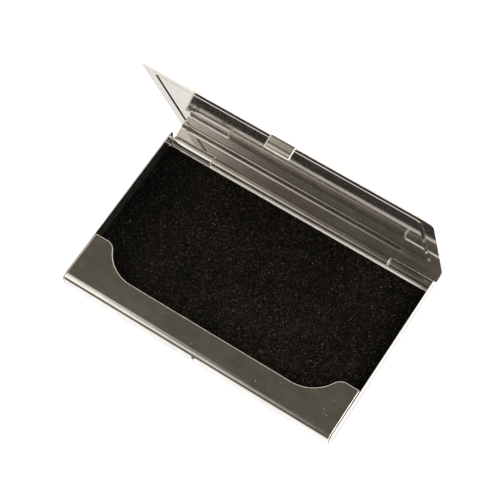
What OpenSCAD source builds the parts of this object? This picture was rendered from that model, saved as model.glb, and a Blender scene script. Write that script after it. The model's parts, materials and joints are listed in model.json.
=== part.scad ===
// Stamped steel business card case: a shallow tray with a rolled front retainer, a flat lid with an
// embossed border, and a pinned hinge along the rear edge. Millimetres, +Z up, +Y towards the hinge.
// The origin is the middle of the tray's underside.

/* [Tray] */
// Width over the side walls
case_w = 94; // [90:0.5:104]
// Depth of the side walls, from the front face to their rear ends
tray_d = 58.4; // [56:0.2:66]
// Height of the walls above the underside
tray_h = 6.4; // [6.3:0.1:10]
// Thickness of the steel sheet
sheet_t = 0.5; // [0.4:0.02:0.56]
// Outer radius of the roll between the front wall and the retainer
roll_r = 2; // [1.6:0.1:2.6]

/* [Retainer] */
// Depth of the retainer in the middle, from the front face
retainer_mid_d = 8.8; // [7:0.2:12]
// Depth of the retainer at its two ears, from the front face
retainer_ear_d = 17; // [15:0.2:19]
// Half the width of the straight part of the retainer's edge
retainer_flat_x = 28; // [22:0.5:29]
// Distance from the middle at which an ear reaches its full depth
ear_start_x = 42; // [40:0.5:43]
// Share of each S curve that belongs to its hollow arc
hollow_share = 0.77; // [0.6:0.01:0.85]

/* [Lid] */
// Angle at which the lid stands open, from closed
lid_open_angle = 75.9; // [60:0.1:88]
// How far the lid's front edge stands in front of the tray
lid_overhang = 0.8; // [0.8:0.1:1.2]
// Radius of the lid's front corners, seen from above
lid_corner_r = 3; // [2:0.5:5]
// Width of the plain border outside the embossed line, at the sides and the front
border_w = 4.4; // [3:0.2:8]
// Width of the plain border at the hinge side
border_rear_w = 7.6; // [6:0.2:12]
// Outer radius of the fold between the lid's panel and its rear wall
fold_r = 1.6; // [0.8:0.1:1.8]
// Width of the embossed line
emboss_w = 1.4; // [0.9:0.1:1.6]
// How far the embossed line stands out of the lid
emboss_h = 0.3; // [0.1:0.05:0.4]

/* [Catch] */
// Width of the tongue that hooks over the front wall
tongue_w = 8; // [6:0.5:14]
// Length of the tongue below the lid's upper face
tongue_len = 4.2; // [4:0.1:4.8]
// Height of the catch bump out of the front wall
bump_h = 0.2; // [0.1:0.05:0.2]
// Diameter of the catch bump where it leaves the wall
bump_d = 1.8; // [1.4:0.1:2]

/* [Hinge] */
// Outer radius of the knuckles
knuckle_r = 1.4; // [1.3:0.05:1.6]
// Half the width of the lid's middle knuckle, up to the split
knuckle_split_x = 31.7; // [20:0.1:36]
// Radial clearance between the hinge pin and its knuckles
pin_clearance = 0.05; // [0.02:0.01:0.08]

/* [Liner] */
// Thickness of the liner's card backing
backing_t = 0.3; // [0.2:0.05:0.4]
// Thickness of the flock on it
flock_t = 0.5; // [0.3:0.05:0.6]

/* [Hidden] */
$fn = 96;

// A tiny overlap that joins solids of one piece
weld = 0.01;
// Gap between pieces that move past each other
gap = 0.3;
// Slot between the floor's rear edge and the lid's knuckle
hinge_slot = 0.8;
// Open seam between a side wall and the front wall, the retainer and the outer knuckles
seam_gap = 0.3;
// Gap between the closed lid and the wall tops
lid_seat_gap = 0.1;
// Outer radius of the plain bends
bend_r = 0.8;
// Distance from the rear ends of the side walls forward to the hinge axis
axis_inset = 0.2;
// Radius of the tray's lower front corners, seen from the side
foot_corner_r = 1.2;
// Radius of the side walls' upper rear corners, which pass under the lid's fold
wall_corner_r = 1.2;
// Angle at which the tray's knuckles end, counted from straight back over the top
tray_curl_end = 200;
// Angle at which the lid's knuckle ends: straight up on the closed lid
lid_curl_end = 90;
// Radius of the fillets where the lid's rear wall narrows to its knuckle
notch_fillet_r = 0.8;
// Height of the tongue's bead above the tongue's tip; closed, the catch bump is level with it
bead_up = 1.4;
// Half width of the tongue's bead and how far it stands out
bead_half = 0.6;
bead_h = 0.25;
// Radius of the tongue's lower corners
tongue_corner_r = 0.5;
// Radius of the embossed line's middle at its corners
emboss_corner_r = 2;
// Bare floor left between the liner and the side walls, the front bend and the barrel
liner_side_gap = 0.3;
liner_front_gap = 0.4;
liner_rear_gap = 0.95;
// Radius of the liner's corners
liner_corner_r = 0.6;
// How far each end of the pin lies inside its knuckle, and the bevel on it
pin_inset = 0.2;
pin_bevel = 0.2;

front_y = -tray_d / 2;
rear_y = tray_d / 2;
half_w = case_w / 2;
inner_x = half_w - sheet_t;
// The front wall, the roll and the retainer stop short of the side walls
front_x = inner_x - seam_gap;
// The hinge axis lies just in front of the side walls' rear ends, one knuckle radius above the underside
axis_y = rear_y - axis_inset;
axis_z = knuckle_r;
pin_r = knuckle_r - sheet_t - pin_clearance;
wall_out_y = axis_y + knuckle_r;
lid_top_z = tray_h + lid_seat_gap + sheet_t;
lid_front_y = front_y - lid_overhang;
tongue_tip_z = lid_top_z - tongue_len;
bead_z = tongue_tip_z + bead_up;
floor_rear_y = axis_y - knuckle_r - hinge_slot;
liner_x = inner_x - liner_side_gap;
liner_front_y = front_y + bend_r + liner_front_gap;
liner_rear_y = axis_y - knuckle_r - liner_rear_gap;
// The lid's rear wall ends clear of the tray's knuckles
lid_wall_low_z = axis_z + knuckle_r + 0.1;

// The S curve of the retainer's edge: one hollow arc, then one round arc, with a common tangent
s_run = ear_start_x - retainer_flat_x;
s_rise = retainer_ear_d - retainer_mid_d;
s_angle = 2 * atan(s_rise / s_run);
s_radius = s_run / sin(s_angle);
hollow_r = s_radius * hollow_share;
round_r = s_radius - hollow_r;
arc_steps = 16;

steel = [0.78, 0.77, 0.75];
steel_dark = [0.62, 0.61, 0.6];
black = [0.06, 0.06, 0.06];

// Draws in the YZ plane and extrudes along X, centred
module along_x(length) {
    rotate([90, 0, 90]) linear_extrude(length, center = true) children();
}

// Draws in the XZ plane and extrudes along Y, from y0 to y1
module along_y(y0, y1) {
    translate([0, y1, 0]) rotate([90, 0, 0]) linear_extrude(y1 - y0) children();
}

module mirrored_x() {
    children();
    mirror([1, 0, 0]) children();
}

// Quarter ring of sheet. side_x and side_y say which quadrant it fills
module bend_2d(outer_r, side_x, side_y) {
    intersection() {
        difference() {
            circle(outer_r);
            circle(outer_r - sheet_t);
        }
        scale([side_x, side_y]) square(outer_r + weld);
    }
}

// Part of a ring of sheet round the hinge axis, from angle a0 to angle a1, counted from +Y over +Z
module curl_2d(a0, a1) {
    reach = 2 * knuckle_r;
    steps = ceil((a1 - a0) / 30);
    intersection() {
        difference() {
            circle(knuckle_r);
            circle(knuckle_r - sheet_t);
        }
        polygon(concat([[0, 0]],
            [for (i = [0:steps]) let (a = a0 + (a1 - a0) * i / steps) reach * [cos(a), sin(a)]]));
    }
}

// Rectangle from corner a to corner b
module box_2d(a, b) {
    translate(a) square(b - a);
}

module rounded_box_2d(a, b, r) {
    box_2d([a.x + r, a.y], [b.x - r, b.y]);
    box_2d([a.x, a.y + r], [b.x, b.y - r]);
    for (x = [a.x + r, b.x - r], y = [a.y + r, b.y - r]) translate([x, y]) circle(r);
}

// ---- Tray ----

// Floor, front wall and roll, seen from the side
module tray_front_profile() {
    box_2d([front_y + bend_r, 0], [floor_rear_y, sheet_t]);
    translate([front_y + bend_r, bend_r]) bend_2d(bend_r, -1, -1);
    box_2d([front_y, bend_r], [front_y + sheet_t, tray_h - roll_r]);
    translate([front_y + roll_r, tray_h - roll_r]) bend_2d(roll_r, -1, 1);
}

// Floor edge and side wall on the +X side, seen from the front
module tray_side_profile() {
    box_2d([front_x - bend_r, 0], [half_w - bend_r, sheet_t]);
    translate([half_w - bend_r, bend_r]) bend_2d(bend_r, 1, -1);
    box_2d([inner_x, bend_r], [half_w, tray_h]);
}

// Side wall's outline, seen from the side
module tray_side_outline() {
    difference() {
        box_2d([front_y, -weld], [rear_y, tray_h]);
        translate([front_y + roll_r, tray_h - roll_r]) difference() {
            box_2d([-roll_r - weld, 0], [0, roll_r + weld]);
            circle(roll_r);
        }
        translate([front_y + foot_corner_r, foot_corner_r]) difference() {
            box_2d([-foot_corner_r - weld, -foot_corner_r - 2 * weld], [0, 0]);
            circle(foot_corner_r);
        }
        translate([rear_y - wall_corner_r, tray_h - wall_corner_r]) difference() {
            box_2d([0, 0], [wall_corner_r + weld, wall_corner_r + weld]);
            circle(wall_corner_r);
        }
    }
}

// Right half of the retainer's plate behind the roll, seen from above
module retainer_half_2d() {
    hollow = [for (i = [0:arc_steps]) let (a = s_angle * i / arc_steps)
        [retainer_flat_x + hollow_r * sin(a), front_y + retainer_mid_d + hollow_r * (1 - cos(a))]];
    ear = [for (i = [1:arc_steps]) let (a = s_angle * (1 - i / arc_steps))
        [ear_start_x - round_r * sin(a), front_y + retainer_ear_d - round_r * (1 - cos(a))]];
    polygon(concat(
        [[-weld, front_y + roll_r - weld], [-weld, front_y + retainer_mid_d]],
        hollow, ear,
        [[front_x, front_y + retainer_ear_d], [front_x, front_y + roll_r - weld]]));
}

// Knuckle at one end of the hinge: the floor runs on under it and curls up and over the pin
module tray_knuckle() {
    inner = knuckle_split_x + gap / 2;
    translate([(inner + front_x) / 2, axis_y, axis_z]) along_x(front_x - inner) {
        curl_2d(-90, tray_curl_end);
        box_2d([-knuckle_r - hinge_slot - weld, -axis_z], [0, sheet_t - axis_z]);
    }
}

module catch_bump() {
    ball_r = (pow(bump_d / 2, 2) + pow(bump_h, 2)) / (2 * bump_h);
    intersection() {
        translate([0, front_y - bump_h + ball_r, bead_z]) sphere(ball_r);
        translate([-bump_d, front_y - bump_h, bead_z - bump_d])
            cube([2 * bump_d, bump_h + sheet_t / 2, 2 * bump_d]);
    }
}

module tray_shell() {
    color(steel) {
        along_x(2 * front_x) tray_front_profile();
        mirrored_x() {
            intersection() {
                along_y(front_y, rear_y) tray_side_profile();
                along_x(2 * case_w) tray_side_outline();
            }
            translate([0, 0, tray_h - sheet_t]) linear_extrude(sheet_t) retainer_half_2d();
            tray_knuckle();
        }
        catch_bump();
    }
}

// ---- Lid, drawn closed ----

module lid_profile() {
    panel_rear_y = wall_out_y - fold_r;
    box_2d([lid_front_y, lid_top_z - sheet_t], [panel_rear_y, lid_top_z]);
    translate([panel_rear_y, lid_top_z - fold_r]) bend_2d(fold_r, 1, 1);
    box_2d([wall_out_y - sheet_t, axis_z], [wall_out_y, lid_top_z - fold_r]);
}

// Outline seen from above: the two front corners are rounded
module lid_plan_2d() {
    rounded_box_2d([-half_w, lid_front_y], [half_w, 0], lid_corner_r);
    box_2d([-half_w, lid_front_y + 2 * lid_corner_r], [half_w, wall_out_y + weld]);
}

// What is cut from the rear wall beside the middle knuckle, seen from behind
module rear_notch_2d() {
    tab = knuckle_split_x - gap / 2;
    r = notch_fillet_r;
    difference() {
        box_2d([tab, -weld], [half_w + weld, lid_wall_low_z]);
        difference() {
            box_2d([tab - weld, lid_wall_low_z - r], [tab + r, lid_wall_low_z + weld]);
            translate([tab + r, lid_wall_low_z - r]) circle(r);
        }
    }
}

// Closed ring of the embossed line, seen from above, with this width
module emboss_ring_2d(width) {
    a = [-half_w + border_w, lid_front_y + border_w];
    b = [half_w - border_w, wall_out_y - border_rear_w];
    half = [width / 2, width / 2];
    difference() {
        rounded_box_2d(a - half, b + half, emboss_corner_r + width / 2);
        rounded_box_2d(a + half, b - half, emboss_corner_r - width / 2);
    }
}

// Tongue seen from the side: bend, flat and the bead near the tip
module tongue_profile() {
    translate([lid_front_y + bend_r, lid_top_z - bend_r]) bend_2d(bend_r, -1, 1);
    box_2d([lid_front_y, tongue_tip_z], [lid_front_y + sheet_t, lid_top_z - bend_r]);
    bead_r = (pow(bead_half, 2) + pow(bead_h, 2)) / (2 * bead_h);
    intersection() {
        translate([lid_front_y - bead_h + bead_r, bead_z]) circle(bead_r);
        box_2d([lid_front_y - bead_h, bead_z - bead_half], [lid_front_y + weld, bead_z + bead_half]);
    }
}

module lid_tongue() {
    groove_r = (pow(bead_half, 2) + pow(bead_h, 2)) / (2 * bead_h);
    intersection() {
        difference() {
            along_x(tongue_w) tongue_profile();
            // Hollow side of the bead, which takes the catch bump
            translate([0, lid_front_y + sheet_t - bead_h + groove_r, bead_z]) intersection() {
                rotate([0, 90, 0]) cylinder(h = case_w, r = groove_r, center = true);
                translate([0, -groove_r + bead_h / 2, 0])
                    cube([2 * case_w, bead_h, 4 * bead_half], center = true);
            }
        }
        along_y(lid_front_y - bend_r, lid_front_y + 2 * bend_r)
            rounded_box_2d([-tongue_w / 2, tongue_tip_z], [tongue_w / 2, lid_top_z + tongue_len],
                tongue_corner_r);
    }
}

// The lid's knuckle curls from the rear wall down round the pin and up again
module lid_knuckle() {
    translate([0, axis_y, axis_z])
        along_x(2 * knuckle_split_x - gap) curl_2d(lid_curl_end - 360, 0);
}

module lid_closed() {
    difference() {
        union() {
            intersection() {
                along_x(case_w) lid_profile();
                linear_extrude(2 * lid_top_z) lid_plan_2d();
            }
            translate([0, 0, lid_top_z - weld]) linear_extrude(emboss_h + weld) emboss_ring_2d(emboss_w);
        }
        translate([0, 0, lid_top_z - sheet_t - weld])
            linear_extrude(emboss_h + weld) emboss_ring_2d(emboss_w - emboss_h);
        mirrored_x() along_y(wall_out_y - 2 * sheet_t, wall_out_y + sheet_t) rear_notch_2d();
    }
    lid_knuckle();
    lid_tongue();
}

// Swings closed geometry open about the hinge axis
module swung_open(angle) {
    translate([0, axis_y, axis_z]) rotate([-angle, 0, 0]) translate([0, -axis_y, -axis_z]) children();
}

module lid_shell() {
    color(steel) swung_open(lid_open_angle) lid_closed();
}

// ---- Hinge pin ----

module hinge_pin() {
    length = 2 * (front_x - pin_inset);
    color(steel_dark) translate([0, axis_y, axis_z]) rotate([0, 90, 0]) {
        cylinder(h = length - 2 * pin_bevel, r = pin_r, center = true);
        for (side = [-1, 1]) translate([0, 0, side * (length / 2 - pin_bevel / 2)])
            rotate([0, side < 0 ? 180 : 0, 0])
                cylinder(h = pin_bevel, r1 = pin_r, r2 = pin_r - pin_bevel, center = true);
    }
}

// ---- Liner ----

module liner_2d() {
    rounded_box_2d([-liner_x, liner_front_y], [liner_x, liner_rear_y], liner_corner_r);
}

module liner_backing() {
    color(black) translate([0, 0, sheet_t]) linear_extrude(backing_t) liner_2d();
}

module liner_flock() {
    color(black) translate([0, 0, sheet_t + backing_t]) linear_extrude(flock_t) liner_2d();
}

tray_shell();
lid_shell();
hinge_pin();
liner_backing();
liner_flock();
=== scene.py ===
import json
import math
import random

import bmesh
import bpy
from mathutils import Matrix, Vector, noise
from mathutils.geometry import delaunay_2d_cdt


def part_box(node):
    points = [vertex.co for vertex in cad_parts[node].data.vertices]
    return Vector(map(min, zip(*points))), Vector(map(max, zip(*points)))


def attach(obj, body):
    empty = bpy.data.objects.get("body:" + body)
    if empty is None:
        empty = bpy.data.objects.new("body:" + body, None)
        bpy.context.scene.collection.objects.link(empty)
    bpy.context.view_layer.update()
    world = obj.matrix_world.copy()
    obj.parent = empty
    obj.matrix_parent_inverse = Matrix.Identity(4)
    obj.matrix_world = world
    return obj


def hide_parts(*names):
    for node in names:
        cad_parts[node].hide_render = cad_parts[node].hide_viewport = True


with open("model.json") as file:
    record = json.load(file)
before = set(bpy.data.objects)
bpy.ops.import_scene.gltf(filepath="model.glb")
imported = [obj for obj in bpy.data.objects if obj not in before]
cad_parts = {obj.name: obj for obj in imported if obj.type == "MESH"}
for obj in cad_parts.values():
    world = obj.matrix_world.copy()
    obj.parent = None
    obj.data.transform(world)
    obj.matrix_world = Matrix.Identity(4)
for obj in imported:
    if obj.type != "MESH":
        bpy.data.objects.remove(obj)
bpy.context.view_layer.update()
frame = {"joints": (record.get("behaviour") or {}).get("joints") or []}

MM = 0.001

# ---------------------------------------------------------------- sizes, mm
SHEET_T = 0.5
EDGE_R = 0.2
EDGE_STEPS = 4
BEND_R = 0.8
FOLD_R = 1.6
ROLL_R = 2.0
SEAM_GAP = 0.3
GAP = 0.3

tray_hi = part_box("tray_shell")[1]
HALF_W = tray_hi.x / MM
HINGE = [v / MM for v in frame["joints"][0]["pos_m"]]
OPEN_DEG = frame["joints"][0]["range_deg"][1]
AXIS_Y, AXIS_Z = HINGE[1], HINGE[2]
AXIS_INSET = 0.2
KNUCKLE_R = AXIS_Z
REAR_Y = AXIS_Y + AXIS_INSET
FRONT_Y = -REAR_Y
TRAY_H = tray_hi.z / MM
FRONT_X = HALF_W - SHEET_T - SEAM_GAP
SPLIT_X = 31.7
HINGE_SLOT = 0.8
FLOOR_REAR_Y = AXIS_Y - KNUCKLE_R - HINGE_SLOT

RET_MID = 8.8
RET_EAR = 17.0
RET_FLAT_X = 28.0
EAR_X = 42.0
HOLLOW_SHARE = 0.77
FOOT_R = 1.2
WALL_CORNER_R = 1.2
KNUCKLE_CORNER_R = 0.3

LID_SEAT_GAP = 0.1
LID_OVERHANG = 0.8
LID_TOP = TRAY_H + LID_SEAT_GAP + SHEET_T
LID_FRONT = FRONT_Y - LID_OVERHANG
LID_CORNER_R = 3.0
WALL_OUT = AXIS_Y + KNUCKLE_R
TONGUE_W = 8.0
TONGUE_LEN = 4.2
TONGUE_TIP = LID_TOP - TONGUE_LEN
BEAD_Z = TONGUE_TIP + 1.4
BEAD_HALF, BEAD_H = 0.65, 0.25
TONGUE_CORNER_R = 0.5
SLIT = 0.16
TONGUE_LEAN = math.radians(3.0)

LINT_COUNT = 1700
LINT_JOINTS = 5
LINT_SIDES = 3

HALF_PI = math.pi / 2
BEND_LEN = BEND_R * HALF_PI
ROLL_LEN = ROLL_R * HALF_PI


# ---------------------------------------------------------------- outlines
def arc(cx, cy, r, a0, a1, n):
    return [
        (cx + r * math.cos(math.radians(a0 + (a1 - a0) * i / n)),
         cy + r * math.sin(math.radians(a0 + (a1 - a0) * i / n)))
        for i in range(n + 1)
    ]


def round_outline(corners, steps=6):
    """Closed outline from (x, y, r) corners: each corner with r > 0 is rounded to that radius."""
    out = []
    n = len(corners)
    for i, (x, y, r) in enumerate(corners):
        if r <= 0:
            out.append((x, y))
            continue
        p = Vector((x, y))
        a = (Vector(corners[i - 1][:2]) - p).normalized()
        b = (Vector(corners[(i + 1) % n][:2]) - p).normalized()
        half = a.angle(b) / 2
        reach = r / math.tan(half)
        centre = p + (a + b).normalized() * (r / math.sin(half))
        p0, p1 = p + a * reach, p + b * reach
        a0 = math.atan2(p0.y - centre.y, p0.x - centre.x)
        turn = math.atan2(p1.y - centre.y, p1.x - centre.x) - a0
        turn = (turn + math.pi) % (2 * math.pi) - math.pi
        for k in range(steps + 1):
            ang = a0 + turn * k / steps
            out.append((centre.x + r * math.cos(ang), centre.y + r * math.sin(ang)))
    return out


def clean_loop(loop, tol=1e-4):
    out = []
    for p in loop:
        if not out or math.dist(p, out[-1]) > tol:
            out.append(p)
    if math.dist(out[0], out[-1]) <= tol:
        out.pop()
    return out


def offset_loop(loop, d):
    """Moves every point of a closed loop sideways by d, to the right of the way it runs."""
    n = len(loop)
    out = []
    for i in range(n):
        p0, p1, p2 = Vector(loop[i - 1]), Vector(loop[i]), Vector(loop[(i + 1) % n])
        e0, e1 = (p1 - p0).normalized(), (p2 - p1).normalized()
        n0, n1 = Vector((e0.y, -e0.x)), Vector((e1.y, -e1.x))
        m = n0 + n1
        m = m / max(m.length_squared / 2, 0.35)
        out.append((p1.x + m.x * d, p1.y + m.y * d))
    return out


def signed_area(loop):
    return 0.5 * sum(
        loop[i - 1][0] * loop[i][1] - loop[i][0] * loop[i - 1][1] for i in range(len(loop))
    )


# ---------------------------------------------------------------- sheet metal
def boundary_loops(tris):
    """Closed chains of the edges that only one triangle uses, in the triangles' own turn."""
    seen = {(t[i], t[(i + 1) % 3]): True for t in tris for i in range(3)}
    nxt = {a: b for (a, b) in seen if (b, a) not in seen}
    loops = []
    while nxt:
        start = next(iter(nxt))
        loop = [start]
        cur = nxt.pop(start)
        while cur != start:
            loop.append(cur)
            cur = nxt.pop(cur)
        loops.append(loop)
    return loops


def sheet_mesh(name, outline, folds, rings, place, height, shape=None):
    """A folded sheet with rounded cut edges. outline, folds and rings lie in the flat, unfolded
    sheet; place(u, v, zone) gives the outer face's point, normal and tangents, and height(u, v)
    gives how far it is pressed out, with the slopes. The cut edges get material 1."""
    loop = clean_loop(outline)
    if signed_area(loop) < 0:
        loop.reverse()
    inner = offset_loop(loop, -EDGE_R)
    pts = [Vector(p) for p in inner]
    edges = [(i, (i + 1) % len(inner)) for i in range(len(inner))]
    for a, b in folds:
        edges.append((len(pts), len(pts) + 1))
        pts += [Vector(a), Vector(b)]
    for ring in rings:
        k = len(pts)
        pts += [Vector(p) for p in ring]
        edges += [(k + i, k + (i + 1) % len(ring)) for i in range(len(ring))]
    flat, _, tris, *_ = delaunay_2d_cdt(pts, edges, [list(range(len(inner)))], 1, 1e-7)
    tris = [tuple(f) for f in tris]
    tris = [f if signed_area([flat[i][:] for i in f]) > 0 else f[::-1] for f in tris]
    used = sorted({i for f in tris for i in f})
    index = {v: k for k, v in enumerate(used)}
    flat = [flat[i] for i in used]
    tris = [tuple(index[i] for i in f) for f in tris]

    co, no, faces = [], [], []

    def put(u, v, zone, out2, depth, tilt):
        """Adds the vertex beside (u, v), moved by out2 in the sheet and by depth into it."""
        p, n, tu, tv = place(u + out2[0], v + out2[1], zone)
        h, hu, hv = height(zone[0], zone[1])
        nn = (n - tu * hu - tv * hv).normalized()
        side = Vector((0, 0, 0))
        if tilt[0]:
            side = (tu * out2[0] + tv * out2[1]).normalized()
        co.append(p + n * (h - depth))
        no.append((nn * tilt[1] + side * tilt[0]).normalized())
        return len(co) - 1

    top = [put(u, v, (u, v), (0, 0), 0, (0, 1)) for u, v in flat]
    low = [put(u, v, (u, v), (0, 0), SHEET_T, (0, -1)) for u, v in flat]
    faces += [(top[a], top[b], top[c]) for a, b, c in tris]
    faces += [(low[c], low[b], low[a]) for a, b, c in tris]
    sheet_faces = len(faces)
    for chain in boundary_loops(tris):
        pts2 = [tuple(flat[i]) for i in chain]
        out = offset_loop(pts2, 1.0)
        dirs = [(out[i][0] - pts2[i][0], out[i][1] - pts2[i][1]) for i in range(len(chain))]
        rows = [[top[i] for i in chain]]
        turns = [(t * HALF_PI, False) for t in frac(EDGE_STEPS)[1:]]
        turns += [((1 - t) * HALF_PI, True) for t in frac(EDGE_STEPS)[:-1]]
        for a, under in turns:
            reach, drop = EDGE_R * math.sin(a), EDGE_R * (1 - math.cos(a))
            depth = SHEET_T - drop if under else drop
            up = -math.cos(a) if under else math.cos(a)
            rows.append([
                put(flat[i][0], flat[i][1], tuple(flat[i]), (d[0] * reach, d[1] * reach), depth,
                    (math.sin(a), up))
                for i, d in zip(chain, dirs)
            ])
        rows.append([low[i] for i in chain])
        n = len(chain)
        for r0, r1 in zip(rows, rows[1:]):
            for i in range(n):
                j = (i + 1) % n
                faces.append((r0[j], r0[i], r1[i], r1[j]))
    # Folding may mirror the flat pattern, so the faces are turned to agree with their normals
    flips = 0
    for f in faces[:200]:
        a, b, c = (co[i] for i in f[:3])
        flips += 1 if (b - a).cross(c - a).dot(no[f[0]]) < 0 else -1
    if flips > 0:
        faces = [f[::-1] for f in faces]
    if shape is not None:
        turn = shape.to_3x3()
        co = [shape @ p for p in co]
        no = [turn @ n for n in no]
    ob = make_mesh(name, co, faces, no)
    for face in ob.data.polygons[sheet_faces:]:
        face.material_index = 1
    return ob


def make_mesh(name, co, faces, normals=None):
    me = bpy.data.meshes.new(name)
    me.from_pydata([tuple(p * MM) for p in co], [], faces)
    me.validate()
    me.polygons.foreach_set("use_smooth", [True] * len(me.polygons))
    if normals is not None and len(me.vertices) == len(normals):
        me.normals_split_custom_set_from_vertices([tuple(n) for n in normals])
    me.update()
    ob = bpy.data.objects.new(name, me)
    bpy.context.scene.collection.objects.link(ob)
    return ob


def frac(n):
    return [i / n for i in range(n + 1)]


def ridge(d, half, top, soft=0.18):
    """Height and slope at distance d from the middle of a pressed ridge with straight flanks."""
    a = abs(d) / half
    if a >= 1:
        return 0.0, 0.0
    k = top / (1 - soft)
    t = a / soft
    if a < soft:
        fall, steep = soft * (t ** 3 - t ** 4 / 2), t * t * (3 - 2 * t)
    elif a <= 1 - soft:
        fall, steep = a - soft / 2, 1.0
    else:
        t = (a - 1 + soft) / soft
        fall, steep = 1 - 1.5 * soft + soft * (t - t ** 3 + t ** 4 / 2), 1 - t * t * (3 - 2 * t)
    return top - k * fall, -math.copysign(k / half * steep, d)


RIDGE_STEPS = (0.0, 0.05, 0.1, 0.14, 0.18, 0.4, 0.6, 0.82, 0.86, 0.9, 0.95, 1.0)


# ---------------------------------------------------------------- tray sheet
TRAY_BEND_V = FRONT_Y + BEND_R
WALL_LEN = TRAY_H - ROLL_R - BEND_R
Q_WALL = BEND_LEN
Q_ROLL = Q_WALL + WALL_LEN
Q_FLAT = Q_ROLL + ROLL_LEN
SIDE_LEN = BEND_LEN + TRAY_H - BEND_R
TRAY_CURL = math.radians(290)
BUMP_Z = BEAD_Z + 0.2
BUMP_V = TRAY_BEND_V - Q_WALL - (BUMP_Z - BEND_R)
BUMP_R, BUMP_H, BUMP_SOFT = 0.9, 0.37, 0.12
BUMP_SIDES = 48


def tray_place(u, v, zone):
    zu, zv = zone
    if abs(zu) > FRONT_X + 1e-6:
        side = 1 if zu > 0 else -1
        s = abs(u) - FRONT_X
        if s < BEND_LEN:
            a = s / BEND_R
            x, z = FRONT_X + BEND_R * math.sin(a), BEND_R * (1 - math.cos(a))
            nx, nz = math.sin(a), -math.cos(a)
        else:
            x, z, nx, nz = HALF_W, BEND_R + s - BEND_LEN, 1.0, 0.0
        return (Vector((side * x, v, z)), Vector((side * nx, 0, nz)),
                Vector((-nz, 0, side * nx)), Vector((0, 1, 0)))
    tu = Vector((1, 0, 0))
    if zv < TRAY_BEND_V:
        q = TRAY_BEND_V - v
        if q < Q_WALL:
            a = q / BEND_R
            y, z = TRAY_BEND_V - BEND_R * math.sin(a), BEND_R * (1 - math.cos(a))
            ny, nz = -math.sin(a), -math.cos(a)
        elif q < Q_ROLL:
            y, z, ny, nz = FRONT_Y, BEND_R + q - Q_WALL, -1.0, 0.0
        elif q < Q_FLAT:
            a = (q - Q_ROLL) / ROLL_R
            y = FRONT_Y + ROLL_R - ROLL_R * math.cos(a)
            z = TRAY_H - ROLL_R + ROLL_R * math.sin(a)
            ny, nz = -math.cos(a), math.sin(a)
        else:
            y, z, ny, nz = FRONT_Y + ROLL_R + q - Q_FLAT, TRAY_H, 0.0, 1.0
        return Vector((u, y, z)), Vector((0, ny, nz)), tu, Vector((0, -nz, ny))
    if zv > AXIS_Y:
        a = -HALF_PI + (v - AXIS_Y) / KNUCKLE_R
        n = Vector((0, math.cos(a), math.sin(a)))
        return Vector((u, AXIS_Y, AXIS_Z)) + n * KNUCKLE_R, n, tu, Vector((0, -n.z, n.y))
    return Vector((u, v, 0)), Vector((0, 0, -1)), tu, Vector((0, 1, 0))


# The bare floor in front of the barrel is unpolished
MATT_FROM_Y, MATT_TO_Y = FLOOR_REAR_Y - 3.0, AXIS_Y - KNUCKLE_R


def tray_height(u, v):
    """Height and slopes of the catch bump on the front wall."""
    d = math.hypot(u, v - BUMP_V)
    if d >= BUMP_R:
        return 0, 0, 0
    h, slope = ridge(d, BUMP_R, BUMP_H, BUMP_SOFT)
    k = slope / max(d, 1e-6)
    return h, k * u, k * (v - BUMP_V)


def retainer_depth_outline():
    """The S-cut edge from the side seam to the middle: (x, depth from the front face)."""
    run, rise = EAR_X - RET_FLAT_X, RET_EAR - RET_MID
    turn = 2 * math.atan(rise / run)
    radius = run / math.sin(turn)
    hollow, rounded = radius * HOLLOW_SHARE, radius * (1 - HOLLOW_SHARE)
    pts = [(EAR_X - rounded * math.sin(turn * t), RET_EAR - rounded * (1 - math.cos(turn * t)))
           for t in frac(20)]
    pts += [(RET_FLAT_X + hollow * math.sin(turn * (1 - t)),
             RET_MID + hollow * (1 - math.cos(turn * (1 - t)))) for t in frac(24)[1:]]
    return pts


def tray_outline():
    knuckle_in = SPLIT_X + GAP / 2
    knuckle_v = AXIS_Y + KNUCKLE_R * TRAY_CURL
    top_u = FRONT_X + SIDE_LEN
    half = [(0, FLOOR_REAR_Y, 0), (knuckle_in, FLOOR_REAR_Y, KNUCKLE_CORNER_R),
            (knuckle_in, knuckle_v, KNUCKLE_CORNER_R), (FRONT_X, knuckle_v, KNUCKLE_CORNER_R),
            (FRONT_X, REAR_Y, 0.05), (top_u, REAR_Y, WALL_CORNER_R)]
    corner_u = FRONT_X + BEND_LEN + (TRAY_H - ROLL_R) - BEND_R
    half += [(x, y, 0) for x, y in arc(corner_u, FRONT_Y + ROLL_R, ROLL_R, 0, -90, 24)]
    for t in frac(14)[1:]:
        a = HALF_PI * t
        z, y = FOOT_R * (1 - math.sin(a)), FRONT_Y + FOOT_R * (1 - math.cos(a))
        if z < BEND_R:
            u = FRONT_X + BEND_R * math.acos(1 - z / BEND_R)
        else:
            u = FRONT_X + BEND_LEN + z - BEND_R
        half.append((u, y, 0))
    v_ear = TRAY_BEND_V - Q_FLAT - (RET_EAR - ROLL_R)
    half.append((FRONT_X, v_ear, 0.35))
    half += [(x, TRAY_BEND_V - Q_FLAT - (d - ROLL_R), 0) for x, d in retainer_depth_outline()]
    half.append((0, TRAY_BEND_V - Q_FLAT - (RET_MID - ROLL_R), 0))
    full = half + [(-x, y, r) for x, y, r in reversed(half) if x > 1e-6]
    return round_outline(full)


def row(v, x0, x1):
    return ((x0, v), (x1, v))


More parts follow.
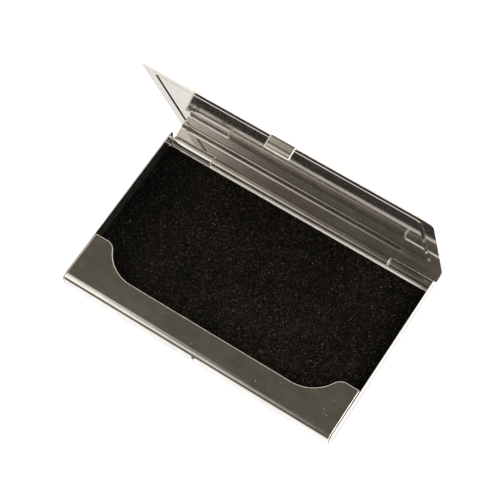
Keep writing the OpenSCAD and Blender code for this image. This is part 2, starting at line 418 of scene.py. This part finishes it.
def build_tray():
    folds = [row(v, -FRONT_X, FRONT_X) for v in (MATT_FROM_Y, MATT_TO_Y)]
    folds.append(((SPLIT_X, MATT_FROM_Y), (SPLIT_X, FLOOR_REAR_Y)))
    bend_rows = [TRAY_BEND_V - BEND_LEN * t for t in frac(10)]
    roll_rows = [TRAY_BEND_V - Q_ROLL - ROLL_LEN * t for t in frac(28)]
    folds += [row(v, -FRONT_X, FRONT_X) for v in bend_rows + roll_rows]
    for s in (-1, 1):
        x0, x1 = sorted((s * (SPLIT_X - 0.2), s * FRONT_X))
        folds += [row(AXIS_Y + KNUCKLE_R * TRAY_CURL * t, x0, x1) for t in frac(44)[1:-1]]
        folds.append(row(AXIS_Y, x0, x1))
        cols = [s * (FRONT_X + BEND_LEN * t) for t in frac(10)]
        folds += [((x, FRONT_Y - 0.2), (x, REAR_Y + 0.2)) for x in cols[1:]]
        folds.append(((cols[0], FRONT_Y + FOOT_R - 0.1), (cols[0], REAR_Y)))
    turns = [a * math.tau / BUMP_SIDES for a in range(BUMP_SIDES)]
    rings = [[(r * math.cos(a), BUMP_V + r * math.sin(a)) for a in turns]
             for r in [BUMP_R * k for k in RIDGE_STEPS[1:]]]
    ob = sheet_mesh("tray_sheet", tray_outline(), folds, rings, tray_place, tray_height)
    for face in ob.data.polygons:
        p = face.center / MM
        inside = face.material_index == 0 and face.normal.z > 0.99 and abs(p.z - SHEET_T) < 0.01
        if inside and MATT_FROM_Y < p.y < MATT_TO_Y and p.x > -SPLIT_X:
            face.material_index = 2
    return ob


# ---------------------------------------------------------------- lid sheet, laid out closed
FOLD_LEN = FOLD_R * HALF_PI
FOLD_V = WALL_OUT - FOLD_R
V_WALL = FOLD_V + FOLD_LEN
V_CURL = V_WALL + (LID_TOP - FOLD_R - AXIS_Z)
LID_CURL = math.radians(270)
TONGUE_V = LID_FRONT + BEND_R
WALL_LOW_Z = AXIS_Z + KNUCKLE_R + 0.1
EMBOSS_H = 0.34
EMBOSS_HALF = 0.75
EMBOSS_CORNER = 2.0
BORDER_W = 4.4
BORDER_REAR_W = 7.6
RING_X = HALF_W - BORDER_W
RING_V0 = LID_FRONT + BORDER_W
RING_V1 = WALL_OUT - BORDER_REAR_W


def lid_place(u, v, zone):
    zu, zv = zone
    tu = Vector((1, 0, 0))
    if zv < TONGUE_V and abs(zu) < TONGUE_W / 2 + SLIT / 2:
        q = TONGUE_V - v
        a = min(q / BEND_R, HALF_PI + TONGUE_LEAN)
        rest = max(q - BEND_R * (HALF_PI + TONGUE_LEAN), 0.0)
        ny, nz = -math.sin(a), math.cos(a)
        y = TONGUE_V + BEND_R * ny - rest * nz
        z = LID_TOP - BEND_R + BEND_R * nz + rest * ny
        return Vector((u, y, z)), Vector((0, ny, nz)), tu, Vector((0, nz, -ny))
    if zv <= FOLD_V:
        return Vector((u, v, LID_TOP)), Vector((0, 0, 1)), tu, Vector((0, 1, 0))
    w = v - FOLD_V
    if zv <= V_WALL:
        a = w / FOLD_R
        n = Vector((0, math.sin(a), math.cos(a)))
        return Vector((u, FOLD_V, LID_TOP - FOLD_R)) + n * FOLD_R, n, tu, Vector((0, n.z, -n.y))
    if zv <= V_CURL:
        z = LID_TOP - FOLD_R - (v - V_WALL)
        return Vector((u, WALL_OUT, z)), Vector((0, 1, 0)), tu, Vector((0, 0, -1))
    a = -(v - V_CURL) / KNUCKLE_R
    n = Vector((0, math.cos(a), math.sin(a)))
    return Vector((u, AXIS_Y, AXIS_Z)) + n * KNUCKLE_R, n, tu, Vector((0, n.z, -n.y))


def ring_distance(u, v):
    """Signed distance from the embossed line's middle (positive outside) and its direction."""
    cy = (RING_V0 + RING_V1) / 2
    hx, hy = RING_X - EMBOSS_CORNER, (RING_V1 - RING_V0) / 2 - EMBOSS_CORNER
    dx, dy = abs(u) - hx, abs(v - cy) - hy
    sx, sy = (1 if u > 0 else -1), (1 if v > cy else -1)
    if dx > 0 and dy > 0:
        d = math.hypot(dx, dy)
        return d - EMBOSS_CORNER, sx * dx / max(d, 1e-9), sy * dy / max(d, 1e-9)
    if dx > dy:
        return dx - EMBOSS_CORNER, sx, 0.0
    return dy - EMBOSS_CORNER, 0.0, sy


def lid_height(u, v):
    if v < TONGUE_V and abs(u) < TONGUE_W / 2 + SLIT / 2:
        z = LID_TOP - BEND_R - (TONGUE_V - v - BEND_LEN)
        d = z - BEAD_Z
        if abs(d) >= BEAD_HALF:
            return 0, 0, 0
        h = BEAD_H * 0.5 * (1 + math.cos(math.pi * d / BEAD_HALF))
        slope = -BEAD_H * 0.5 * math.pi / BEAD_HALF * math.sin(math.pi * d / BEAD_HALF)
        return h, 0, slope
    d, gx, gy = ring_distance(u, v)
    h, slope = ridge(d, EMBOSS_HALF, EMBOSS_H)
    return h, slope * gx, slope * gy


def lid_outline():
    t = TONGUE_W / 2
    tip_v = TONGUE_V - BEND_LEN - (LID_TOP - BEND_R - TONGUE_TIP)
    low_v = V_WALL + (LID_TOP - FOLD_R - WALL_LOW_Z)
    tab = SPLIT_X - GAP / 2
    curl_v = V_CURL + KNUCKLE_R * LID_CURL
    half = [(0, tip_v, 0), (t, tip_v, TONGUE_CORNER_R), (t, TONGUE_V + 0.1, 0.04),
            (t + SLIT, TONGUE_V + 0.1, 0.04), (t + SLIT, LID_FRONT, 0.3),
            (HALF_W, LID_FRONT, LID_CORNER_R), (HALF_W, low_v, 0.4), (tab, low_v, 0.8),
            (tab, curl_v, 0.3), (0, curl_v, 0)]
    full = half + [(-x, y, r) for x, y, r in reversed(half) if x > 1e-6]
    return round_outline(full, 12)


def emboss_ring(d):
    x, y0, y1 = RING_X + d, RING_V0 - d, RING_V1 + d
    r = EMBOSS_CORNER + d
    return round_outline([(-x, y0, r), (x, y0, r), (x, y1, r), (-x, y1, r)], 14)


def open_matrix():
    to_axis = Matrix.Translation(Vector((0, AXIS_Y, AXIS_Z)))
    return to_axis @ Matrix.Rotation(-math.radians(OPEN_DEG), 4, "X") @ to_axis.inverted()


def build_lid():
    wide = HALF_W + 0.5
    tab = SPLIT_X + 0.2
    folds = [row(FOLD_V + FOLD_LEN * t, -wide, wide) for t in frac(20)]
    folds += [row(V_CURL + KNUCKLE_R * LID_CURL * t, -tab, tab) for t in frac(42)[:-1]]
    half_t = TONGUE_W / 2 + SLIT / 2
    turn_len = BEND_R * (HALF_PI + TONGUE_LEAN)
    folds += [row(TONGUE_V - turn_len * t, -half_t, half_t) for t in frac(10)]
    bead_v = TONGUE_V - BEND_LEN - (LID_TOP - BEND_R - BEAD_Z)
    folds += [row(bead_v + BEAD_HALF * (2 * t - 1), -half_t, half_t) for t in frac(12)]
    across = sorted({s * a for s in (-1, 1) for a in RIDGE_STEPS})
    rings = [emboss_ring(EMBOSS_HALF * a) for a in across]
    return sheet_mesh("lid_sheet", lid_outline(), folds, rings, lid_place, lid_height,
                      shape=open_matrix())


# ---------------------------------------------------------------- pin and liner
def build_pin():
    lo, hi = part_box("hinge_pin")
    half, r = hi.x / MM, (hi.z - lo.z) / MM / 2
    bevel = 0.25
    profile = [(-half, 0.0), (-half, r - bevel)]
    profile += [(-half + bevel - bevel * math.cos(a), r - bevel + bevel * math.sin(a))
                for a in [HALF_PI * t for t in frac(5)[1:]]]
    profile += [(-x, q) for x, q in reversed(profile)]
    seg = 48
    co, faces = [], []
    for x, q in profile:
        for k in range(seg):
            a = math.tau * k / seg
            co.append(Vector((x, AXIS_Y + q * math.cos(a), AXIS_Z + q * math.sin(a))))
    for i in range(len(profile) - 1):
        for k in range(seg):
            j = (k + 1) % seg
            faces.append((i * seg + k, i * seg + j, (i + 1) * seg + j, (i + 1) * seg + k))
    ob = make_mesh("pin_wire", co, faces)
    return weld(ob)


def weld(ob, dist=1e-7):
    bm = bmesh.new()
    bm.from_mesh(ob.data)
    bmesh.ops.remove_doubles(bm, verts=bm.verts, dist=dist)
    bmesh.ops.recalc_face_normals(bm, faces=bm.faces)
    bm.to_mesh(ob.data)
    bm.free()
    return ob


def fbm(x, y, z, octaves=3):
    total, amp = 0.0, 1.0
    for _ in range(octaves):
        total += amp * noise.noise(Vector((x, y, z)))
        x, y, z, amp = x * 2.1, y * 2.1, z * 2.1, amp * 0.5
    return total


def slab_grid(name, lo, hi, cell, lift, wobble, extra=None):
    """A closed slab with a rough top: lift(x, y) is added to the top, wobble to its outline."""
    nx, ny = int((hi.x - lo.x) / cell), int((hi.y - lo.y) / cell)
    co, faces = [], []
    top = {}
    for j in range(ny + 1):
        for i in range(nx + 1):
            x, y = lo.x + (hi.x - lo.x) * i / nx, lo.y + (hi.y - lo.y) * j / ny
            edge = min(i, nx - i, j, ny - j)
            z = hi.z + lift(x, y) - (0.5 * (hi.z - lo.z) if edge == 0 else 0)
            if edge == 0:
                w = wobble(x, y)
                x += -w if i == 0 else (w if i == nx else 0)
                y += -w if j == 0 else (w if j == ny else 0)
            top[i, j] = len(co)
            co.append(Vector((x, y, z)))
    for j in range(ny):
        for i in range(nx):
            faces.append((top[i, j], top[i + 1, j], top[i + 1, j + 1], top[i, j + 1]))
    rim = [(i, 0) for i in range(nx)] + [(nx, j) for j in range(ny)]
    rim += [(i, ny) for i in range(nx, 0, -1)] + [(0, j) for j in range(ny, 0, -1)]
    base = []
    for ij in rim:
        p = co[top[ij]]
        base.append(len(co))
        co.append(Vector((p.x, p.y, lo.z)))
    n = len(rim)
    for k in range(n):
        m = (k + 1) % n
        faces.append((top[rim[m]], top[rim[k]], base[k], base[m]))
    faces.append(tuple(reversed(base)))
    if extra is None:
        return make_mesh(name, co, faces)
    start, n_slab = len(co), len(faces)
    faces += [tuple(i + start for i in f) for f in extra[1]]
    ob = make_mesh(name, co + extra[0], faces)
    for face in ob.data.polygons[n_slab:]:
        face.material_index = 1
    return ob


def build_liner():
    lo, hi = (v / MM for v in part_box("liner_backing"))
    backing = slab_grid("liner_film", lo, hi, 1.0, lambda x, y: 0.0,
                        lambda x, y: -0.02 + 0.02 * noise.noise(Vector((x, y, 1.0))))
    lo, hi = (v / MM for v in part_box("liner_flock"))
    hi = hi - Vector((0, 0, 0.12))

    def lift(x, y):
        tuft = fbm(x * 1.9, y * 1.9, 3.0, 3)
        nap = noise.noise(Vector((x * 0.09, y * 0.09, 7.0)))
        return 0.075 * tuft + 0.025 * nap

    lint = lint_fibres(lo, hi, lift)
    pile = slab_grid("liner_pile", lo, hi, 0.22, lift,
                     lambda x, y: 0.06 + 0.06 * noise.noise(Vector((x * 1.3, y * 1.3, 5.0))), lint)
    return backing, pile


def lint_fibres(lo, hi, lift):
    """Loose fibres lying on the pile: bent three-sided hairs, as points and faces."""
    rng = random.Random(11)
    last = LINT_JOINTS - 1
    co, faces = [], []
    for _ in range(LINT_COUNT):
        x, y = rng.uniform(lo.x + 3, hi.x - 1), rng.uniform(lo.y + 1, hi.y - 1)
        if x < lo.x + 20 and rng.random() < 0.8:
            continue
        ang, curl = rng.uniform(0, math.tau), rng.uniform(-1.2, 1.2)
        step_len = rng.choice((0.07, 0.09, 0.12, 0.22))
        r = rng.uniform(0.022, 0.04)
        first = len(co)
        for k in range(LINT_JOINTS):
            z = hi.z + lift(x, y) + r * 1.2 + 0.05 * math.sin(math.pi * k / last)
            side = Vector((-math.sin(ang), math.cos(ang), 0))
            thick = r * (0.35 if k in (0, last) else 1.0)
            for m in range(LINT_SIDES):
                a = math.tau * m / LINT_SIDES + HALF_PI
                co.append(Vector((x, y, z)) + side * (thick * math.cos(a))
                          + Vector((0, 0, thick * math.sin(a))))
            x, y = x + step_len * math.cos(ang), y + step_len * math.sin(ang)
            ang += curl / last
        for k in range(last):
            a0 = first + LINT_SIDES * k
            b0 = a0 + LINT_SIDES
            for m in range(LINT_SIDES):
                n = (m + 1) % LINT_SIDES
                faces.append((a0 + m, a0 + n, b0 + n, b0 + m))
        end = first + LINT_SIDES * last
        faces.append((first, first + 2, first + 1))
        faces.append((end, end + 1, end + 2))
    return co, faces


# ---------------------------------------------------------------- node helpers
def new_material(name):
    m = bpy.data.materials.new(name)
    m.use_nodes = True
    tree = m.node_tree
    return m, tree, tree.nodes["Principled BSDF"]


def add(tree, kind, **values):
    """A new node; a value sets the socket of that name, or else the node's own property."""
    node = tree.nodes.new(kind)
    for key, value in values.items():
        if key in node.inputs:
            node.inputs[key].default_value = value
        else:
            setattr(node, key, value)
    return node


def ramp(tree, fac, stops):
    node = tree.nodes.new("ShaderNodeValToRGB")
    els = node.color_ramp.elements
    while len(els) < len(stops):
        els.new(0.5)
    for el, (pos, col) in zip(els, stops):
        el.position = pos
        el.color = (*col, 1) if hasattr(col, "__len__") else (col, col, col, 1)
    tree.links.new(fac, node.inputs["Fac"])
    return node.outputs["Color"]


def math_node(tree, op, a, b):
    node = tree.nodes.new("ShaderNodeMath")
    node.operation = op
    for i, v in enumerate((a, b)):
        if isinstance(v, (int, float)):
            node.inputs[i].default_value = v
        else:
            tree.links.new(v, node.inputs[i])
    return node.outputs[0]


def noise_tex(tree, coord, scale, detail=3.0, rough=0.55, stretch=(1, 1, 1), turn=(0, 0, 0)):
    mapping = tree.nodes.new("ShaderNodeMapping")
    mapping.inputs["Scale"].default_value = stretch
    mapping.inputs["Rotation"].default_value = turn
    tree.links.new(coord, mapping.inputs["Vector"])
    node = add(tree, "ShaderNodeTexNoise", Scale=scale, Detail=detail, Roughness=rough)
    tree.links.new(mapping.outputs[0], node.inputs["Vector"])
    return node.outputs["Fac"]


def steel_material(name, tone, rough, wave, fine_bump, haze):
    """Polished stainless sheet: slight waviness, fine handling scratches, smears and dust."""
    m, tree, bsdf = new_material(name)
    coord = tree.nodes.new("ShaderNodeTexCoord").outputs["Object"]
    smear = noise_tex(tree, coord, 70, 4, 0.6)
    cloud = noise_tex(tree, coord, 260, 4, 0.7, (1, 1.6, 1), (0, 0, 0.5))
    grain = noise_tex(tree, coord, 900, 3, 0.6, (1, 9, 9))
    scratch_a = noise_tex(tree, coord, 420, 2, 0.7, (1, 30, 30), (0.1, 0.3, 0.5))
    scratch_b = noise_tex(tree, coord, 380, 2, 0.7, (30, 1.2, 30), (0.2, 0.1, -0.4))
    dust = noise_tex(tree, coord, 1500, 1, 0.5)
    mottle = math_node(tree, "ADD", math_node(tree, "MULTIPLY", smear, 0.5),
                       math_node(tree, "MULTIPLY", cloud, 0.5))
    tint = ramp(tree, mottle, [(0.40, tuple(c * 0.88 for c in tone)),
                               (0.60, tuple(c * 1.03 for c in tone))])
    tree.links.new(tint, bsdf.inputs["Base Color"])
    thin_a = ramp(tree, scratch_a, [(0.64, 0.0), (0.72, 1.0)])
    thin_b = ramp(tree, scratch_b, [(0.65, 0.0), (0.73, 1.0)])
    scratches = math_node(tree, "MAXIMUM", thin_a, thin_b)
    motes = ramp(tree, dust, [(0.775, 0.0), (0.81, 1.0)])
    veil = math_node(tree, "ADD", math_node(tree, "MULTIPLY", scratches, 0.12),
                     math_node(tree, "MULTIPLY", motes, 0.6))
    veil = math_node(tree, "ADD", veil, math_node(tree, "MULTIPLY", mottle, haze))
    tree.links.new(math_node(tree, "SUBTRACT", 1.0, veil), bsdf.inputs["Metallic"])
    r = math_node(tree, "ADD", rough, math_node(tree, "MULTIPLY", smear, 0.05))
    r = math_node(tree, "ADD", r, math_node(tree, "MULTIPLY", grain, 0.03))
    r = math_node(tree, "ADD", r, math_node(tree, "MULTIPLY", scratches, 0.10))
    tree.links.new(r, bsdf.inputs["Roughness"])
    swell = noise_tex(tree, coord, 38, 2, 0.4)
    warp = add(tree, "ShaderNodeBump", Strength=1.0, Distance=wave)
    tree.links.new(swell, warp.inputs["Height"])
    fine = add(tree, "ShaderNodeBump", Strength=fine_bump, Distance=0.000004)
    tree.links.new(math_node(tree, "ADD", grain, scratches), fine.inputs["Height"])
    tree.links.new(warp.outputs[0], fine.inputs["Normal"])
    tree.links.new(fine.outputs[0], bsdf.inputs["Normal"])
    return m


def matt_material(name, dark, light, metallic, rough):
    """Unpolished steel: the sheared edges of the sheet, and the floor inside the tray."""
    m, tree, bsdf = new_material(name)
    coord = tree.nodes.new("ShaderNodeTexCoord").outputs["Object"]
    tear = noise_tex(tree, coord, 1700, 3, 0.6)
    wear = noise_tex(tree, coord, 240, 3, 0.6)
    tree.links.new(ramp(tree, wear, [(0.3, dark), (0.7, light)]), bsdf.inputs["Base Color"])
    bsdf.inputs["Metallic"].default_value = metallic
    r = math_node(tree, "ADD", rough, math_node(tree, "MULTIPLY", tear, 0.2))
    tree.links.new(r, bsdf.inputs["Roughness"])
    bump = add(tree, "ShaderNodeBump", Strength=0.3, Distance=0.00002)
    tree.links.new(tear, bump.inputs["Height"])
    tree.links.new(bump.outputs[0], bsdf.inputs["Normal"])
    return m


def pin_material():
    m, tree, bsdf = new_material("drawn_wire")
    coord = tree.nodes.new("ShaderNodeTexCoord").outputs["Object"]
    bsdf.inputs["Metallic"].default_value = 1.0
    lines = noise_tex(tree, coord, 1500, 3, 0.6, (0.05, 1, 1))
    tree.links.new(ramp(tree, lines, [(0.3, (0.50, 0.49, 0.48)), (0.7, (0.66, 0.65, 0.63))]),
                   bsdf.inputs["Base Color"])
    r = math_node(tree, "ADD", 0.26, math_node(tree, "MULTIPLY", lines, 0.18))
    tree.links.new(r, bsdf.inputs["Roughness"])
    bump = add(tree, "ShaderNodeBump", Strength=0.4, Distance=0.00001)
    tree.links.new(lines, bump.inputs["Height"])
    tree.links.new(bump.outputs[0], bsdf.inputs["Normal"])
    return m


def flock_material():
    """Short black pile: dark tufts, brown-grey fibre tips, a few pale specks, and painted shadow
    towards the left wall.
    """
    m, tree, bsdf = new_material("flock_black")
    coord = tree.nodes.new("ShaderNodeTexCoord").outputs["Object"]
    fibre = noise_tex(tree, coord, 3600, 3, 0.75)
    tuft = noise_tex(tree, coord, 1300, 3, 0.65)
    patch = noise_tex(tree, coord, 75, 3, 0.6)
    speck = noise_tex(tree, coord, 2300, 1, 0.5)
    mix = math_node(tree, "ADD", math_node(tree, "MULTIPLY", fibre, 0.65),
                    math_node(tree, "MULTIPLY", tuft, 0.35))
    body = ramp(tree, mix, [(0.43, (0.0003, 0.0003, 0.0001)), (0.54, (0.0032, 0.0027, 0.0015)),
                            (0.66, (0.040, 0.035, 0.024))])
    across = add(tree, "ShaderNodeSeparateXYZ")
    tree.links.new(coord, across.inputs[0])
    # Painted shadow: the factor called pressed darkens the pile towards the left wall, where the
    # wall shades it; the pile is not pressed there.
    pressed = add(tree, "ShaderNodeMapRange", interpolation_type="SMOOTHSTEP")
    for socket, value in (("From Min", -0.045), ("From Max", -0.024),
                          ("To Min", 0.3), ("To Max", 1.0)):
        pressed.inputs[socket].default_value = value
    tree.links.new(across.outputs["X"], pressed.inputs["Value"])
    patches = ramp(tree, patch, [(0.3, 0.6), (0.7, 1.5)])
    tone = math_node(tree, "MULTIPLY", patches, pressed.outputs[0])
    shade = tree.nodes.new("ShaderNodeMix")
    shade.data_type = "RGBA"
    shade.blend_type = "MULTIPLY"
    shade.inputs["Factor"].default_value = 1.0
    tree.links.new(body, shade.inputs["A"])
    tree.links.new(tone, shade.inputs["B"])
    pale = tree.nodes.new("ShaderNodeMix")
    pale.data_type = "RGBA"
    tree.links.new(ramp(tree, speck, [(0.66, 0.0), (0.76, 1.0)]), pale.inputs["Factor"])
    tree.links.new(shade.outputs["Result"], pale.inputs["A"])
    pale.inputs["B"].default_value = (0.060, 0.055, 0.043, 1)
    tree.links.new(pale.outputs["Result"], bsdf.inputs["Base Color"])
    bsdf.inputs["Roughness"].default_value = 1.0
    bsdf.inputs["Specular IOR Level"].default_value = 0.07
    bsdf.inputs["Sheen Weight"].default_value = 0.015
    bsdf.inputs["Sheen Roughness"].default_value = 0.5
    bump = add(tree, "ShaderNodeBump", Strength=0.9, Distance=0.00015)
    tree.links.new(mix, bump.inputs["Height"])
    tree.links.new(bump.outputs[0], bsdf.inputs["Normal"])
    return m


def lint_material():
    """Grey-brown loose fibres."""
    m, tree, bsdf = new_material("lint_grey")
    coord = tree.nodes.new("ShaderNodeTexCoord").outputs["Object"]
    blotch = noise_tex(tree, coord, 420, 2, 0.6)
    tree.links.new(ramp(tree, blotch, [(0.35, (0.035, 0.032, 0.026)), (0.5, (0.085, 0.08, 0.066)),
                                       (0.68, (0.27, 0.26, 0.235))]), bsdf.inputs["Base Color"])
    bsdf.inputs["Roughness"].default_value = 0.8
    bsdf.inputs["Specular IOR Level"].default_value = 0.2
    bump = add(tree, "ShaderNodeBump", Strength=0.3, Distance=0.00002)
    tree.links.new(noise_tex(tree, coord, 5200, 2, 0.6), bump.inputs["Height"])
    tree.links.new(bump.outputs[0], bsdf.inputs["Normal"])
    return m


def film_material():
    m, tree, bsdf = new_material("film_black")
    coord = tree.nodes.new("ShaderNodeTexCoord").outputs["Object"]
    fleck = noise_tex(tree, coord, 800, 4, 0.6)
    tree.links.new(ramp(tree, fleck, [(0.3, (0.012, 0.012, 0.012)), (0.7, (0.032, 0.031, 0.03))]),
                   bsdf.inputs["Base Color"])
    r = math_node(tree, "ADD", 0.5, math_node(tree, "MULTIPLY", fleck, 0.3))
    tree.links.new(r, bsdf.inputs["Roughness"])
    bump = add(tree, "ShaderNodeBump", Strength=0.4, Distance=0.00003)
    tree.links.new(fleck, bump.inputs["Height"])
    tree.links.new(bump.outputs[0], bsdf.inputs["Normal"])
    return m


# ---------------------------------------------------------------- camera
CAMERA_AT = (0.11267944, -0.15493315, 0.44030363)
CAMERA_TURN = (24.78610847, 1.19588793, 33.10252292)
CAMERA_LENS = 115.72876


def build_camera():
    data = bpy.data.cameras.new("camera")
    data.lens = CAMERA_LENS
    data.sensor_width = 36.0
    data.clip_start = 0.01
    data.clip_end = 50
    cam = bpy.data.objects.new("camera", data)
    cam.location = CAMERA_AT
    cam.rotation_euler = [math.radians(a) for a in CAMERA_TURN]
    bpy.context.scene.collection.objects.link(cam)
    bpy.context.scene.camera = cam
    return cam


# ---------------------------------------------------------------- studio
def stage_mesh(name, co, faces, material):
    me = bpy.data.meshes.new(name)
    me.from_pydata(co, [], faces)
    me.materials.append(material)
    ob = bpy.data.objects.new(name, me)
    ob.location.z = -0.00002
    bpy.context.scene.collection.objects.link(ob)
    return ob


def build_floor():
    """The pale table, and the dark patch of it that the tray covers, which is painted shadow."""
    size = 6.0
    fx, fy = tray_hi.x - 1.2 * MM, tray_hi.y - 1.6 * MM
    patch = [(-fx, -fy, 0), (fx, -fy, 0), (fx, fy, 0), (-fx, fy, 0)]
    outer = [(-size, -size, 0), (size, -size, 0), (size, size, 0), (-size, size, 0)]
    pale, _, bsdf = new_material("pale_table")
    bsdf.inputs["Base Color"].default_value = (0.8, 0.8, 0.79, 1)
    bsdf.inputs["Roughness"].default_value = 0.9
    bsdf.inputs["Specular IOR Level"].default_value = 0.0
    bsdf.inputs["Emission Color"].default_value = (1.0, 0.99, 0.98, 1)
    bsdf.inputs["Emission Strength"].default_value = 0.95
    # Painted shadow: the table under the tray gets a dark colour and no glow, standing in for the
    # shade the tray casts.
    painted_shadow, _, bsdf = new_material("pale_table_covered")
    bsdf.inputs["Base Color"].default_value = (0.05, 0.05, 0.05, 1)
    bsdf.inputs["Roughness"].default_value = 1.0
    bsdf.inputs["Specular IOR Level"].default_value = 0.0
    table = stage_mesh("floor", outer + patch,
                       [(0, 1, 5, 4), (1, 2, 6, 5), (2, 3, 7, 6), (3, 0, 4, 7)], pale)
    table.visible_glossy = False
    stage_mesh("floor_covered", patch, [(0, 1, 2, 3)], painted_shadow)


TAUPE = (0.105, 0.091, 0.064)
LAMP = (1.85, 1.76, 1.64)
TABLE = (1.14, 1.10, 1.08)
TABLE_FRONT = (1.42, 1.39, 1.37)
BACK = (0.55, 0.50, 0.44)
SIDE_LIGHT = (4.1, 3.98, 3.85)


def build_world():
    """A dim taupe room: a soft window on the left and in front with a dimmer part overhead, a
    side light on the right, a pale table below, and a faint glow low at the back."""
    world = bpy.data.worlds.new("studio")
    bpy.context.scene.world = world
    world.use_nodes = True
    tree = world.node_tree
    back = tree.nodes["Background"]
    coord = tree.nodes.new("ShaderNodeTexCoord").outputs["Generated"]
    sep = tree.nodes.new("ShaderNodeSeparateXYZ")
    tree.links.new(coord, sep.inputs[0])

    def step(value, lo, hi, kind="SMOOTHSTEP"):
        node = tree.nodes.new("ShaderNodeMapRange")
        node.interpolation_type = kind
        node.inputs["From Min"].default_value = lo
        node.inputs["From Max"].default_value = hi
        tree.links.new(value, node.inputs["Value"])
        return node.outputs["Result"]

    def blend(fac, a, b):
        mix = tree.nodes.new("ShaderNodeMix")
        mix.data_type = "RGBA"
        tree.links.new(fac, mix.inputs["Factor"])
        for socket, col in (("A", a), ("B", b)):
            if isinstance(col, tuple):
                mix.inputs[socket].default_value = (*col, 1)
            else:
                tree.links.new(col, mix.inputs[socket])
        return mix.outputs["Result"]

    x, y, z = sep.outputs
    past = math_node(tree, "MAXIMUM", math_node(tree, "SUBTRACT", -0.26, x), 0.0)
    y_edge = math_node(tree, "SUBTRACT", y, math_node(tree, "MULTIPLY", past, 3.2))
    lamp = math_node(tree, "MULTIPLY", step(x, -0.15, -0.33, "LINEAR"), step(y_edge, -0.32, -0.68))
    ceiling = math_node(tree, "MULTIPLY", step(x, -0.22, -0.31, "LINEAR"), step(y, 0.30, 0.0))
    ceiling = math_node(tree, "MULTIPLY", ceiling, step(y, -0.36, -0.20))
    lamp = math_node(tree, "MAXIMUM", lamp, math_node(tree, "MULTIPLY", ceiling, 0.6))
    lamp = math_node(tree, "MULTIPLY", lamp, step(z, 0.12, 0.42))
    aside = math_node(tree, "MULTIPLY", step(x, 0.15, 0.50), step(z, 0.05, 0.35))
    off_axis = math_node(tree, "ABSOLUTE", y, 0.0)
    aside = math_node(tree, "MULTIPLY", aside, step(off_axis, 0.75, 0.45))
    glow = math_node(tree, "MULTIPLY", step(y, 0.45, 0.80), step(z, 0.80, 0.45))
    colour = blend(glow, TAUPE, BACK)
    colour = blend(lamp, colour, LAMP)
    colour = blend(aside, colour, SIDE_LIGHT)
    table = blend(step(y, 0.02, -0.25), TABLE, TABLE_FRONT)
    colour = blend(step(z, -0.25, -0.52), colour, table)
    tree.links.new(colour, back.inputs["Color"])
    back.inputs["Strength"].default_value = 1.0


def dress(ob, materials, body, node):
    for material in materials:
        ob.data.materials.append(material)
    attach(ob, body)
    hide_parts(node)


build_camera()
build_floor()
build_world()
scene = bpy.context.scene
scene.view_settings.view_transform = "Standard"
scene.view_settings.look = "None"

steel_tray = steel_material("steel_tray", (0.615, 0.60, 0.58), 0.05, 0.000006, 0.25, 0.05)
steel_lid = steel_material("steel_lid", (0.48, 0.455, 0.418), 0.0, 0.000004, 0.05, 0.17)
steel_cut = matt_material("steel_cut", (0.86, 0.82, 0.78), (0.98, 0.95, 0.91), 0.4, 0.25)
steel_matt = matt_material("steel_matt", (0.92, 0.88, 0.81), (0.98, 0.95, 0.88), 0.05, 0.4)
dress(build_tray(), [steel_tray, steel_cut, steel_matt], "tray", "tray_shell")
dress(build_lid(), [steel_lid, steel_cut], "lid", "lid_shell")
dress(build_pin(), [pin_material()], "tray", "hinge_pin")
backing, pile = build_liner()
dress(backing, [film_material()], "tray", "liner_backing")
dress(pile, [flock_material(), lint_material()], "tray", "liner_flock")
